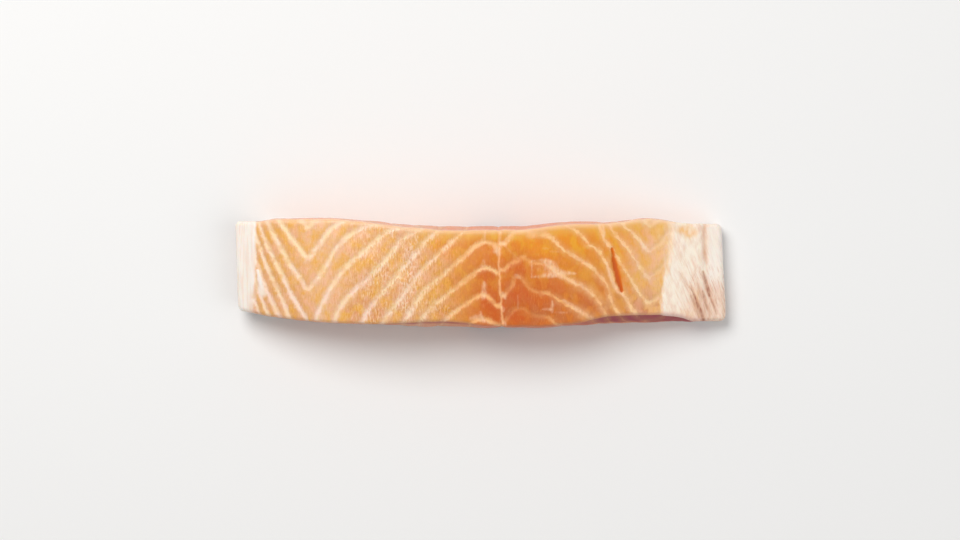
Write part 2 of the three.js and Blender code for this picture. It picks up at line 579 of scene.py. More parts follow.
@dataclass(frozen=True)
class Marks:
    """Where the fat, the lining and the blemishes of this strip lie.

    Attributes:
        back_fat, fat_lobe: where the back edge's fat ends, and a lobe of it past that border.
        lining: where the belly's lining starts.
        gape: where two muscle blocks have parted.
        pale: torn and smeared patches, in which the septa fray.
        amber, deep: where the muscle is yellower, and where it is redder.
        veins, folds: of the lining.
        rough: where the muscle's cut fibres stand up.
        lobe_reach, lobe_border: how far the lobe's stroke counts as fat.
        skin_fat, back_skin_fat, belly_skin_fat: the fat on the outer side: its least thickness,
            and what is added to it at each end.
    """

    back_fat: Course = course((-17, -95.4), (-9, -94.6), (-2, -94.0), (21, -93.8))
    fat_lobe: Stroke = Stroke(((-93.0, 1.2), (-91.8, -4.0), (-90.8, -8.6)), 1.5, 1.0, 0.3, 3.2)
    lining: Course = course(
        (-17, 76.0), (-7, 76.5), (-1, 77.4), (4.5, 78.6), (12, 79.6), (21, 80.4)
    )
    gape: Stroke = Stroke(
        ((54.8, 10.2), (56.2, 3.8), (57.8, -3.2), (59.0, -7.4)), 1.25, 1.0, 0.6, 1.9
    )
    pale: tuple[Stroke, ...] = (
        Stroke(((1.7, 12.4), (1.5, 15.3), (2.1, 17.8)), 0.9, 0.65),
        Stroke(((7.5, 12.4), (8.3, 15.3), (8.5, 18.2)), 0.7, 0.5),
        Stroke(((6.2, 10.4), (7.4, 8.0)), 1.9, 0.8),
        Stroke(((8.0, 12.2), (10.4, 12.2)), 1.2, 0.7),
        Stroke(((1.3, 2.2), (1.3, 5.2)), 2.4, 0.5, 0.0, 0.9),
        Stroke(((1.4, -9.8), (1.5, -4.2)), 1.8, 0.68, 0.0, 1.1),
        Stroke(((0.6, -19.8), (0.0, -16.2)), 1.7, 0.6, 0.0, 0.7),
        Stroke(((0.2, -19.0), (4.0, -20.9), (8.0, -21.9)), 0.9, 0.5),
        Stroke(((9.0, -8.4), (10.2, -10.4)), 1.4, 0.75),
        Stroke(((8.9, -14.0), (9.4, -15.8)), 1.1, 0.6),
        Stroke(((9.4, -20.0), (10.4, -22.0)), 1.0, 0.6),
        Stroke(((14.4, -0.8), (16.4, -2.0)), 1.2, 0.55),
        Stroke(((15.5, -9.0), (15.6, -15.0)), 0.6, 0.45),
        Stroke(((10.6, 10.8), (13.4, 7.8), (16.2, 5.6)), 0.7, 0.4),
        Stroke(((21.2, 4.8), (21.2, -1.6)), 0.6, 0.5, 0.2),
        Stroke(((21.2, 5.0), (26.6, 5.4), (29.8, 4.6)), 0.8, 0.4),
        Stroke(((27.0, 4.6), (29.6, 2.8), (32.0, 0.4)), 2.4, 0.85),
        Stroke(((21.2, -1.7), (26.6, -1.3), (31.6, -1.3)), 0.9, 0.55),
        Stroke(((26.8, -0.8), (31.6, -0.6)), 1.5, 0.6),
        Stroke(((31.6, 0.2), (35.4, 0.0), (39.4, -0.3)), 1.6, 0.75, 0.1, 0.7),
        Stroke(((32.8, -1.6), (37.4, -3.4), (42.0, -5.0), (47.0, -9.6)), 1.3, 0.6),
        Stroke(((23.2, 1.6), (26.2, 1.6)), 2.2, 0.28),
        Stroke(((25.8, 10.2), (28.2, 10.1)), 0.7, 0.4),
        Stroke(((29.0, 9.0), (32.8, 8.8)), 0.7, 0.4),
        Stroke(((29.8, -11.6), (29.7, -16.4)), 0.9, 0.62),
        Stroke(((25.8, -15.0), (29.4, -15.2)), 0.8, 0.55),
        Stroke(((31.0, -16.4), (36.0, -16.4)), 0.7, 0.48),
        Stroke(((37.2, -9.0), (38.2, -10.8)), 0.7, 0.35),
        Stroke(((34.6, -11.4), (39.0, -14.4), (43.0, -17.0), (46.6, -18.8)), 1.2, 0.7),
        Stroke(((-4.0, -18.8), (-1.6, -18.2), (0.4, -18.8)), 1.7, 0.55),
        Stroke(((-76.0, 21.9), (-71.4, 20.2), (-68.0, 22.0)), 1.5, 0.8),
        Stroke(((36.0, 9.6), (39.4, 6.4), (45.4, 3.4), (49.6, -1.0)), 1.2, 0.5),
        Stroke(((51.1, 19.9), (51.4, 13.7), (53.0, 11.2)), 0.9, 0.7),
        Stroke(((52.2, 4.6), (53.8, -1.2), (55.2, -4.4), (57.0, -7.8), (59.4, -9.0)), 0.85, 0.95),
        Stroke(((58.6, -7.6), (61.0, -12.4), (63.0, -17.0)), 0.8, 0.32),
        Stroke(((53.2, -5.4), (55.0, -11.8), (56.6, -16.4)), 0.8, 0.36),
        Stroke(((65.0, 21.8), (70.0, 20.6), (75.0, 21.0)), 1.4, 0.4),
    )
    amber: tuple[Stroke, ...] = (
        Stroke(((-19.5, 12.8), (-14.5, 10.4)), 4.2, 0.85),
        Stroke(((3.8, 15.4), (7.0, 15.2)), 2.4, 1.0),
        Stroke(((12.0, 15.2), (20.0, 13.2), (27.0, 9.0)), 4.2, 0.8),
        Stroke(((30.0, 16.4), (36.0, 14.6), (43.0, 11.0)), 4.0, 1.0),
        Stroke(((43.0, 19.6), (50.0, 17.4), (53.6, 13.0)), 3.0, 0.9),
        Stroke(((55.4, 18.0), (57.6, 9.0), (60.0, 1.0), (62.4, -8.0)), 1.7, 0.9),
        Stroke(((60.0, 17.6), (66.0, 16.4)), 3.6, 0.5),
    )
    deep: tuple[Stroke, ...] = (
        Stroke(((49.4, -2.6), (52.4, -9.0)), 2.6, 0.6),
        Stroke(((42.0, -10.0), (50.0, -15.0)), 3.4, 0.5),
        Stroke(((1.0, 0.4), (4.4, -0.6)), 3.6, 0.6),
        Stroke(((1.6, -9.0), (4.6, -14.0), (5.6, -19.0)), 3.6, 0.9),
        Stroke(((12.6, 2.6), (18.0, 0.8)), 3.4, 0.7),
        Stroke(((12.0, -10.0), (18.0, -7.4), (25.0, -10.6)), 5.0, 0.7),
        Stroke(((12.6, -18.0), (17.0, -18.4)), 2.6, 0.9),
        Stroke(((26.0, -4.6), (34.0, -6.6)), 3.2, 0.5),
    )
    veins: tuple[Stroke, ...] = (
        Stroke(((93.1, 0.4), (94.2, -3.1), (95.2, -6.4), (96.0, -9.4)), 1.0, 0.8, 0.4),
        Stroke(((95.2, -6.2), (96.0, -9.6)), 0.6, 0.9, 0.4),
        Stroke(((96.0, -9.4), (97.0, -12.2), (98.0, -14.4), (99.0, -17.4)), 0.6, 0.7, 0.3),
        Stroke(((93.1, -7.6), (94.2, -12.0), (94.8, -15.0)), 0.8, 0.7, 0.5),
        Stroke(((87.6, -3.8), (88.9, -7.8), (90.2, -11.4)), 0.5, 0.5, 0.4),
        Stroke(((89.4, -9.2), (90.7, -12.7), (92.0, -15.7), (93.6, -20.4)), 0.7, 0.85, 0.2, 1.2),
        Stroke(((90.4, -2.4), (91.6, -7.0), (92.6, -12.0)), 1.0, 0.4, 0.4),
        Stroke(((82.9, 0.6), (86.4, -4.9), (89.4, -8.6)), 0.5, 0.5, 0.3),
        Stroke(((84.6, -3.6), (87.4, -8.4), (89.6, -13.0)), 0.5, 0.4, 0.3),
        Stroke(((88.0, -9.6), (90.0, -14.8), (91.2, -18.6)), 0.8, 0.5, 0.3),
        Stroke(((95.4, -13.6), (96.2, -18.4)), 0.9, 0.45, 0.4),
        Stroke(((91.2, 3.2), (92.6, 0.6)), 0.5, 0.35, 0.4),
    )
    folds: tuple[Stroke, ...] = (
        Stroke(((93.8, 20.4), (94.1, 12.4), (94.6, 4.4)), 1.3, 0.8),
        Stroke(((84.6, 18.0), (89.6, 16.8)), 2.5, 1.0),
        Stroke(((86.8, 15.6), (88.0, 15.8)), 0.9, 0.9),
        Stroke(((82.0, 18.0), (85.0, 18.6)), 1.6, 0.4),
        Stroke(((90.4, -9.0), (93.6, -17.0)), 3.6, 0.5),
        Stroke(((95.6, -3.0), (98.4, -14.0)), 2.0, 0.35),
        Stroke(((82.0, -17.0), (88.0, -18.2)), 2.4, 0.3),
    )
    rough: tuple[Stroke, ...] = (
        Stroke(((-27.6, 12.0), (-29.6, 2.0), (-31.0, -14.0)), 4.2, 1.0),
        Stroke(((-46.0, -2.0), (-38.0, 0.0)), 7.0, 0.5),
        Stroke(((-22.0, -14.0), (-12.0, -16.0)), 5.0, 0.4),
        Stroke(((26.0, 2.0), (35.0, 0.0)), 3.5, 0.8),
    )
    lobe_reach: float = 4.4
    lobe_border: float = 3.6
    skin_fat: float = 1.1
    back_skin_fat: float = 1.8
    belly_skin_fat: float = 0.8

    def fat_layer(self, x: Field) -> Field:
        """How thick the fat on the outer side is: thicker toward both ends."""
        toward_ends = self.back_skin_fat * ease(-x, 70, 96) + self.belly_skin_fat * ease(x, 60, 90)
        return self.skin_fat + toward_ends

    def lobe(self, x: Field, y: Field, on_top: Field) -> Field:
        """How far inside the back fat's lobe each point lies; it is on the top face alone."""
        return self.lobe_reach * self.fat_lobe.at(x, y) * on_top - self.lobe_border

    def drawings(self) -> dict[Trait, tuple[Stroke, ...]]:
        """The traits that are drawn on the top face, with their strokes."""
        return {
            Trait.GAPE: (self.gape,),
            Trait.PALE: self.pale,
            Trait.AMBER: self.amber,
            Trait.DEEP: self.deep,
            Trait.VEIN: self.veins,
            Trait.FOLD: self.folds,
            Trait.ROUGH: self.rough,
        }


@dataclass(frozen=True)
class Relief:
    """The small heights of the flesh: swollen blocks, grooves, tears and layers.

    Attributes:
        groove, midline_groove, midline_reach: how deep the septa and the midline lie, and half
            the midline's width.
        gape_depth, vein_depth, fold_depth: how deep those marks are.
        lining_lift, fat_lift: how far the lining and the fat stand out.
        broad_lift, lump_lift: how strong the broad and the small unevenness is.
        grain_lift, fibre_lift: how strong the grain and the fibres are on smooth flesh.
        torn_grain, torn_fibre: what is added to them on rough flesh.
        pale_lift, pale_grain: how far torn patches stand out, and how strong their grain is.
        broad, lumps, grain, fibres: the unevenness itself.
    """

    groove: float = 0.3
    midline_groove: float = 0.35
    midline_reach: float = 0.8
    gape_depth: float = 0.9
    lining_lift: float = 0.3
    fat_lift: float = 0.14
    broad_lift: float = 0.28
    lump_lift: float = 0.1
    grain_lift: float = 0.025
    torn_grain: float = 0.09
    fibre_lift: float = 0.03
    torn_fibre: float = 0.12
    pale_lift: float = 0.12
    pale_grain: float = 0.2
    vein_depth: float = 0.16
    fold_depth: float = 0.3
    broad: Unevenness = Unevenness(3, (17, 13, 13))
    lumps: Unevenness = Unevenness(5, (4.6, 4.2, 4.2))
    grain: Unevenness = Unevenness(7, (1.5, 2.0, 1.5))
    fibres: Unevenness = Unevenness(11, (0.9, 5.5, 0.9))

    def at(self, points: Points, traits: Mapping[Trait, Field]) -> Field:
        """How far each point moves out along its normal.

        Args:
            points: the points of the skin.
            traits: the numbers that they carry.

        Returns:
            The distance for each point.
        """
        place = (points.x, points.y, points.z)
        lined = ease(traits[Trait.LINING], -0.6, 0.7) * (1 - ease(traits[Trait.DEPTH], 0.8, 2))
        fat = ease(traits[Trait.FAT], -0.5, 0.6)
        flesh = (1 - lined) * (1 - fat)
        septum = np.abs(np.sin(np.pi * traits[Trait.PHASE])) ** 0.7 - 1
        thin = np.clip(traits[Trait.SPREAD] / 9.0, 0.35, 1.0)
        middle = np.exp(-((traits[Trait.MIDLINE] / self.midline_reach) ** 2))
        rise = flesh * (self.groove * thin * septum - self.midline_groove * middle)
        rise -= self.gape_depth * traits[Trait.GAPE]
        rise += self.lining_lift * lined + self.fat_lift * fat
        rise += self.broad_lift * self.broad.at(*place) + self.lump_lift * self.lumps.at(*place)
        grain, fibres, rough = self.grain.at(*place), self.fibres.at(*place), traits[Trait.ROUGH]
        rise += (self.grain_lift + self.torn_grain * rough) * grain
        rise += (self.fibre_lift + self.torn_fibre * rough) * fibres * (1 - lined)
        rise += traits[Trait.PALE] * flesh * (self.pale_lift + self.pale_grain * grain)
        rise -= self.vein_depth * traits[Trait.VEIN]
        return rise - self.fold_depth * traits[Trait.FOLD] * lined


# ----------------------------------------------------------------------------------------------
# Materials
# ----------------------------------------------------------------------------------------------


def linear(tone: Tone) -> tuple[float, float, float, float]:
    """Turns a tone into the linear colour that a shader takes.

    Args:
        tone: red, green and blue as display values from 0 to 255.

    Returns:
        The colour, with an alpha of 1.
    """
    channels = []
    for value in tone:
        share = value / 255
        channels.append(
            share / 12.92 if share <= 0.04045 else ((share + 0.055) / 1.055) ** 2.4
        )
    return (*channels, 1.0)


class Reading:
    """A number that varies over a surface, with the arithmetic that finishes need."""

    def __init__(self, bench: "Bench", socket: bpy.types.NodeSocket) -> None:
        """Wraps an output socket of one of the bench's nodes."""
        self.bench = bench
        self.socket = socket

    def _math(self, operation: str, *operands: "Reading | float") -> "Reading":
        """Adds one Math node.

        Args:
            operation: what it does.
            operands: the numbers that it works on.

        Returns:
            Its output.
        """
        inputs = dict(enumerate(operands))
        node = self.bench.node("ShaderNodeMath", {"operation": operation}, inputs)
        return Reading(self.bench, node.outputs[0])

    def __add__(self, other: "Reading | float") -> "Reading":
        """self + other."""
        return self._math("ADD", self, other)

    def __radd__(self, other: float) -> "Reading":
        """other + self."""
        return self._math("ADD", other, self)

    def __sub__(self, other: "Reading | float") -> "Reading":
        """self - other."""
        return self._math("SUBTRACT", self, other)

    def __rsub__(self, other: float) -> "Reading":
        """other - self."""
        return self._math("SUBTRACT", other, self)

    def __mul__(self, other: "Reading | float") -> "Reading":
        """self * other."""
        return self._math("MULTIPLY", self, other)

    def __rmul__(self, other: float) -> "Reading":
        """other * self."""
        return self._math("MULTIPLY", other, self)

    def __truediv__(self, other: "Reading | float") -> "Reading":
        """self / other."""
        return self._math("DIVIDE", self, other)

    def __abs__(self) -> "Reading":
        """The size of the number, without its sign."""
        return self._math("ABSOLUTE", self)

    def nearest_whole(self) -> "Reading":
        """The nearest whole number."""
        return self._math("ROUND", self)

    def at_most(self, other: "Reading | float") -> "Reading":
        """The smaller of two numbers."""
        return self._math("MINIMUM", self, other)

    def at_least(self, other: "Reading | float") -> "Reading":
        """The larger of two numbers."""
        return self._math("MAXIMUM", self, other)

    def rise(self, low: "Reading | float", high: "Reading | float") -> "Reading":
        """A smooth rise from 0 at low to 1 at high."""
        node = self.bench.node(
            "ShaderNodeMapRange",
            {"interpolation_type": "SMOOTHSTEP"},
            {"Value": self, "From Min": low, "From Max": high},
        )
        return Reading(self.bench, node.outputs["Result"])

    def fall(self, low: "Reading | float", high: "Reading | float") -> "Reading":
        """A smooth fall from 1 at low to 0 at high."""
        return 1 - self.rise(low, high)

    def band(self, first: float, full: float, ebb: float, last: float) -> "Reading":
        """A smooth rise from first to full, and a fall again from ebb to last."""
        return self.rise(first, full) * self.fall(ebb, last)


class Tint:
    """A colour or a vector that varies over a surface."""

    def __init__(self, bench: "Bench", socket: bpy.types.NodeSocket) -> None:
        """Wraps an output socket of one of the bench's nodes."""
        self.bench = bench
        self.socket = socket

    def toward(self, other: "Tint | Tone", share: "Reading | float") -> "Tint":
        """This colour mixed with another one, by a share from 0 to 1."""
        return self.bench.mix(self, other, share)

    def stretched(self, scales: tuple[float, float, float]) -> "Tint":
        """This place with each of its axes scaled."""
        node = self.bench.node(
            "ShaderNodeVectorMath", {"operation": "MULTIPLY"}, {0: self, 1: scales}
        )
        return Tint(self.bench, node.outputs[0])

    def turned(self, angle: float) -> "Tint":
        """This place turned about the upright axis."""
        node = self.bench.node(
            "ShaderNodeVectorRotate", {"rotation_type": "Z_AXIS"}, {"Vector": self, "Angle": angle}
        )
        return Tint(self.bench, node.outputs[0])


class Bench:
    """The nodes of one material, and the ways that finishes add to them."""

    def __init__(self, name: str) -> None:
        """Starts a material with no nodes.

        Args:
            name: the material's name.
        """
        self.material = bpy.data.materials.new(name)
        self.material.use_nodes = True
        self.tree = self.material.node_tree
        self.tree.nodes.clear()

    def node(
        self,
        kind: str,
        settings: Mapping[str, object] | None = None,
        inputs: Mapping[int | str, object] | None = None,
    ) -> bpy.types.Node:
        """Adds a node.

        Args:
            kind: the node's type.
            settings: its own settings; a ramp's stops are given as (place, colour) pairs.
            inputs: a number, a colour or another node's output for each of its sockets.

        Returns:
            The new node.
        """
        node = self.tree.nodes.new(kind)
        for key, value in (settings or {}).items():
            if key == "stops":
                self._set_stops(node.color_ramp, value)
            else:
                setattr(node, key, value)
        for key, value in (inputs or {}).items():
            if isinstance(value, (Reading, Tint)):
                self.tree.links.new(value.socket, node.inputs[key])
            elif isinstance(value, bpy.types.NodeSocket):
                self.tree.links.new(value, node.inputs[key])
            else:
                node.inputs[key].default_value = value
        return node

    @staticmethod
    def _set_stops(ramp: bpy.types.ColorRamp, stops: list[tuple[float, tuple]]) -> None:
        """Gives a ramp its stops.

        Args:
            ramp: the ramp.
            stops: the place and the colour of each stop.
        """
        while len(ramp.elements) < len(stops):
            ramp.elements.new(0.5)
        for element, (place, colour) in zip(ramp.elements, stops):
            element.position = place
            element.color = colour

    def mix(self, first: "Tint | Tone", last: "Tint | Tone", share: "Reading | float") -> Tint:
        """Mixes two colours.

        Args:
            first: the colour where the share is 0.
            last: the colour where it is 1.
            share: the share from 0 to 1.

        Returns:
            The mixed colour.
        """
        ends = [linear(end) if isinstance(end, tuple) else end for end in (first, last)]
        node = self.node(
            "ShaderNodeMix", {"data_type": "RGBA"}, {0: share, 6: ends[0], 7: ends[1]}
        )
        return Tint(self, node.outputs[2])

    def ramp(
        self, along: Reading, first: float, last: float, tones: tuple[tuple[float, Tone], ...]
    ) -> Tint:
        """Tones laid along a number.

        Args:
            along: the number.
            first: its value at the ramp's start.
            last: its value at the ramp's end.
            tones: the tones and where each lies, in the number's own unit.

        Returns:
            The tone at each point.
        """
        share = (along - first) / (last - first)
        stops = [((at - first) / (last - first), linear(tone)) for at, tone in tones]
        node = self.node("ShaderNodeValToRGB", {"stops": stops}, {"Fac": share})
        return Tint(self, node.outputs["Color"])

    def finish(self, shader: bpy.types.Node) -> bpy.types.Material:
        """Joins the shader to the material's output."""
        self.node("ShaderNodeOutputMaterial", inputs={"Surface": shader.outputs[0]})
        return self.material


class FleshBench(Bench):
    """The nodes of the flesh's material, with what most of its layers read at hand."""

    def __init__(self, name: str) -> None:
        """Starts the material, and reads where each point lies, in millimetres.

        Args:
            name: the material's name.
        """
        super().__init__(name)
        coordinates = self.node("ShaderNodeTexCoord").outputs["Object"]
        scaled = self.node(
            "ShaderNodeVectorMath", {"operation": "SCALE"}, {0: coordinates, "Scale": 1 / MM}
        )
        self.place = Tint(self, scaled.outputs[0])
        axes = self.node("ShaderNodeSeparateXYZ", inputs={0: self.place}).outputs
        self.x, self.y = Reading(self, axes[0]), Reading(self, axes[1])
        self.depth = self.trait(Trait.DEPTH)
        self.height = self.trait(Trait.HEIGHT)
        self.rough = self.trait(Trait.ROUGH)
        self.in_side = self.depth.rise(0.35, 1.5)
        self.pale_zone = (self.x.fall(-34, -2) + self.x.rise(54, 70) * 0.6).at_most(1.0)

    def trait(self, trait: Trait) -> Reading:
        """A number that the mesh carries at each of its points."""
        node = self.node("ShaderNodeAttribute", {"attribute_name": trait.value})
        return Reading(self, node.outputs["Fac"])

    def noise(
        self,
        scale: float,
        detail: float = 2.0,
        stretch: tuple[float, float, float] | None = None,
        turn: float | None = None,
    ) -> Reading:
        """Soft noise about 0.5.

        Args:
            scale: how many of its cells fit in a millimetre.
            detail: how many times finer noise is laid over it.
            stretch: how much closer its cells lie along each axis.
            turn: the angle about the upright axis by which it is turned.

        Returns:
            The noise at each point.
        """
        place = self.place if turn is None else self.place.turned(turn)
        place = place if stretch is None else place.stretched(stretch)
        inputs = {"Vector": place, "Scale": scale, "Detail": detail}
        return Reading(self, self.node("ShaderNodeTexNoise", inputs=inputs).outputs[0])


@dataclass(frozen=True)
class Layers:
    """What the flesh's tones and its relief share at each point.

    Attributes:
        line: how much of a septum shows.
        away: how far away the nearest septum is, in millimetres.
        fibres: how high the fibres stand.
        painted_shade: how strong the painted shade under the near top edge is.
        diagonal: the slanting grain of the lining.
        streaks: the grain of the fat.
        fat: how far the fat covers.
        lining: how far the lining covers.
    """

    line: Reading
    away: Reading
    fibres: Reading
    painted_shade: Reading
    diagonal: Reading
    streaks: Reading
    fat: Reading
    lining: Reading


@dataclass(frozen=True)
class RawSalmon:
    """Moist raw salmon: orange muscle between pale septa, fat, belly lining and outer side.

    The limits in its masks are millimetres along the strip (x), across it (y), above its
    underside (height) and below its top face (depth). All other limits are shares from 0 to 1.

    Attributes:
        along: the muscle's tones along the strip, with the places where they lie.
        roughness: how dull the moist surface is.
        gape_slant, gape_middle: the slope and the place of the line along the gape's middle.
        The others are the tones of what they are named for.
    """

    along: tuple[tuple[float, Tone], ...] = (
        (-92, (224, 162, 92)),
        (-80, (228, 168, 98)),
        (-66, (238, 188, 138)),
        (-48, (234, 176, 112)),
        (-32, (230, 172, 116)),
        (-20, (226, 164, 94)),
        (-10, (223, 144, 64)),
        (2, (212, 112, 24)),
        (14, (212, 108, 20)),
        (30, (216, 120, 26)),
        (44, (220, 134, 34)),
        (58, (226, 150, 54)),
        (66, (238, 176, 96)),
        (76, (246, 196, 132)),
    )
    amber: Tone = (238, 148, 14)
    golden: Tone = (236, 170, 30)
    deep: Tone = (206, 80, 8)
    shadow: Tone = (186, 94, 38)
    dusk: Tone = (212, 142, 82)
    rosy: Tone = (244, 184, 156)
    straw: Tone = (254, 216, 146)
    yellow: Tone = (238, 174, 62)
    septum: Tone = (254, 222, 184)
    pink_septum: Tone = (255, 222, 202)
    yellow_septum: Tone = (252, 214, 146)
    warm_septum: Tone = (253, 198, 138)
    orange_septum: Tone = (250, 178, 104)
    midline: Tone = (255, 192, 132)
    # Painted shade beside the septa, where their grooves would be shaded.
    pale_septum_shade: Tone = (206, 160, 122)
    warm_septum_shade: Tone = (176, 108, 52)
    # The fibres' own tones, with painted highlight on the raised ones and painted shade on the
    # sunken ones.
    bright_fibre_highlight: Tone = (252, 214, 176)
    warm_fibre_highlight: Tone = (238, 158, 72)
    dull_fibre: Tone = (208, 132, 52)
    torn: Tone = (253, 206, 164)
    fleck: Tone = (255, 230, 206)
    fat: Tone = (249, 239, 230)
    fat_shade: Tone = (245, 223, 207)
    lining: Tone = (255, 241, 224)
    lining_shade: Tone = (236, 200, 176)
    vein: Tone = (164, 98, 72)
    hair: Tone = (212, 156, 126)
    fold: Tone = (248, 196, 130)
    pink_fold: Tone = (226, 176, 142)
    lining_rim: Tone = (226, 176, 170)
    gape: Tone = (234, 132, 22)
    # Painted shade inside the gape.
    gape_shade: Tone = (207, 90, 2)
    gold: Tone = (238, 188, 92)
    # Painted highlights along the far and the near top edges.
    far_edge_highlight: Tone = (250, 212, 180)
    near_edge_highlight: Tone = (230, 170, 138)
    side: Tone = (228, 112, 70)
    # Painted shade: the dark mauve of the near cut face under its top edge.
    painted_shade_tone: Tone = (156, 68, 94)
    # Painted reflected light on the far cut face: lighter and pinker.
    far_face_painted_light: Tone = (232, 168, 160)
    dark_muscle: Tone = (130, 66, 50)
    outer: Tone = (224, 200, 188)
    outer_grey: Tone = (172, 164, 164)
    roughness: float = 0.42
    gape_slant: float = 0.244
    gape_middle: float = 57.5

    def _end_tones(self, bench: FleshBench, flesh: Tint, patches: Reading) -> Tint:
        """Darkens the flesh near the back edge and lightens it toward the lining.

        Args:
            bench: the material's nodes.
            flesh: the tone so far.
            patches: the noise that breaks the tones up.

        Returns:
            The changed tone.
        """
        x, y = bench.x, bench.y
        dusk = y.fall(-16, 2) * x.band(-84, -70, -36, -24) * (1 - 0.75 * x.band(-78, -72, -60, -54))
        flesh = flesh.toward(self.dusk, dusk * (0.28 + patches.fall(0.42, 0.56) * 0.4))
        flesh = flesh.toward(self.rosy, y.rise(-2, 8) * x.rise(62, 70) * 0.15)
        return flesh.toward(self.straw, y.rise(2, 14) * x.rise(69, 79) * 0.5)

    def _muscle(self, bench: FleshBench) -> Tint:
        """The tone of the flesh between its septa.

        Args:
            bench: the material's nodes.

        Returns:
            The tone at each point.
        """
        x, y = bench.x, bench.y
        blotches = bench.noise(0.11)
        patches = bench.noise(0.22, 3.0, (1.0, 0.7, 1.0))
        mottle = bench.noise(0.5, 1.0)
        flesh = bench.ramp(x + (blotches - 0.5) * 14, -100, 85, self.along)
        far = y.rise(-4, 16) * x.band(-34, 8, 48, 76)
        flesh = flesh.toward(self.amber, far * (0.25 + (blotches - 0.3) * 0.9))
        near = y.fall(-16, 4) * x.band(-12, 6, 26, 48)
        flesh = flesh.toward(self.deep, near * (0.1 + 0.5 * mottle))
        low = y.fall(-18, 0) * x.band(2, 12, 72, 80) * (1 + 0.5 * x.rise(38, 46))
        flesh = flesh.toward(self.shadow, low * (0.08 + patches.fall(0.44, 0.58) * 0.4))
        flesh = self._end_tones(bench, flesh, patches)

        calm = (1 - 0.8 * near.at_least(low)) * (1 - 0.4 * x.band(-20, 0, 56, 66))
        calm = calm * (1 + 0.15 * x.fall(-40, -24))
        paler = 0.12 + 0.88 * (x.fall(-30, -4) + x.rise(54, 66))
        flesh = flesh.toward(self.yellow, patches.rise(0.47, 0.64) * calm * 0.6)
        flesh = flesh.toward(self.rosy, patches.fall(0.34, 0.52) * paler * 0.44)
        flesh = flesh.toward(self.yellow, mottle.rise(0.5, 0.64) * calm * 0.2)
        flesh = flesh.toward(self.rosy, mottle.fall(0.36, 0.48) * paler * 0.2)
        amber = bench.mix(self.amber, self.golden, patches.rise(0.44, 0.6) * 0.8)
        flesh = flesh.toward(amber, bench.trait(Trait.AMBER) * (0.45 + 0.7 * patches))
        return flesh.toward(self.deep, bench.trait(Trait.DEEP) * (0.2 + 0.8 * mottle))

    def _fibres(self, bench: FleshBench) -> Reading:
        """Fine muscle fibres, whose cut and torn ends run across the strip.

        Args:
            bench: the material's nodes.

        Returns:
            How high the fibres stand at each point.
        """
        streaks = bench.noise(1.0, 2.0, (2.2, 0.36, 2.2))
        speckle = bench.noise(1.0, 2.0, (1.7, 1.1, 1.7))
        return streaks * 0.7 + speckle * 0.3

    def _septa(self, bench: FleshBench) -> tuple[Reading, Reading]:
        """The septa: frayed toward the back, thin and crisp toward the belly.

        Args:
            bench: the material's nodes.

        Returns:
            How much of a septum shows at each point, and how far away it is.
        """
        x, y = bench.x, bench.y
        spread = bench.trait(Trait.SPREAD)
        fine = bench.noise(1.7)
        strands = bench.noise(1.0, 3.0, (2.0, 0.42, 2.0))
        frayed = x.band(-58, -44, -20, 0) + 0.5 * bench.rough
        crisp = x.band(24, 36, 64, 72)
        diffuse = x.band(11, 16, 24, 30) * y.rise(9, 13)
        blurred = x.band(36, 42, 52, 58) * y.fall(-6, 2)

        wander = (bench.noise(0.5, 3.0) - 0.5) * (1.2 + 1.0 * crisp)
        wander = wander + (fine - 0.5) * (0.7 - 0.3 * crisp)
        wander = wander + (strands - 0.5) * (1.2 + 2.2 * frayed - 0.7 * crisp)
        moved = bench.trait(Trait.PHASE) + wander / spread
        away = abs(moved - moved.nearest_whole()) * spread

        half = 0.8 - 0.1 * x.rise(-34, -6) + 0.04 * x.rise(28, 40) + 0.5 * diffuse
        half = half * (0.4 + 1.2 * bench.noise(0.22, 1.0)) * (spread / 4.5).at_most(1.0)
        half = half * (1 + (fine - 0.5) * 0.9 * crisp) * (1 - 0.45 * bench.depth.rise(0.9, 2.4))
        line = 1 - away.rise(half * (0.1 + 0.3 * crisp), half * (2.4 - 0.8 * crisp))
        soft = x.rise(24, 34) + y.fall(-8, 2) * x.band(-76, -68, -26, -16) + 1.2 * blurred
        line = line.at_least(away.fall(0, 2.2 + 0.8 * soft) * (0.3 + 0.12 * soft))

        firm = 0.6 + 0.4 * bench.noise(0.3, 1.0).rise(0.38, 0.56)
        firm = firm.at_least(0.9 * y.fall(-10, 2) * x.fall(-48, -38))
        firm = firm * (1 - strands.rise(0.5, 0.66) * 0.5 * frayed - 0.3 * diffuse - 0.14 * blurred)
        return line * firm, away

    def _midline(self, bench: FleshBench) -> Reading:
        """The fish's midline septum, which is faint near the far cut face.

        Args:
            bench: the material's nodes.

        Returns:
            How much of it shows at each point.
        """
        wobble = (bench.noise(0.3) - 0.5) * 1.6 + (bench.noise(1.1) - 0.5) * 0.3
        middle = abs(bench.trait(Trait.MIDLINE) + wobble)
        firm = 0.5 + bench.noise(0.4, 1.0) * 0.7
        return middle.fall(0.0, 0.78) * firm * (0.34 + 0.52 * bench.y.fall(9, 12.5))

    def _painted_shade(self, bench: FleshBench) -> Reading:
        """Painted shade: the near cut face, darkened to a dark mauve where it stands out under its
        top edge.

        Args:
            bench: the material's nodes.

        Returns:
            How strong the painted shade is at each point.
        """
        x, depth = bench.x, bench.depth
        down = depth + (bench.noise(0.2) - 0.5) * 8
        back = x.band(-52, -38, -14, 2) * down.fall(1.5, 7) * 0.75
        belly = x.rise(30, 54) * down.fall(5, 12)
        return (back + belly) * bench.y.fall(-16, -14) * depth.rise(0.5, 1.4)

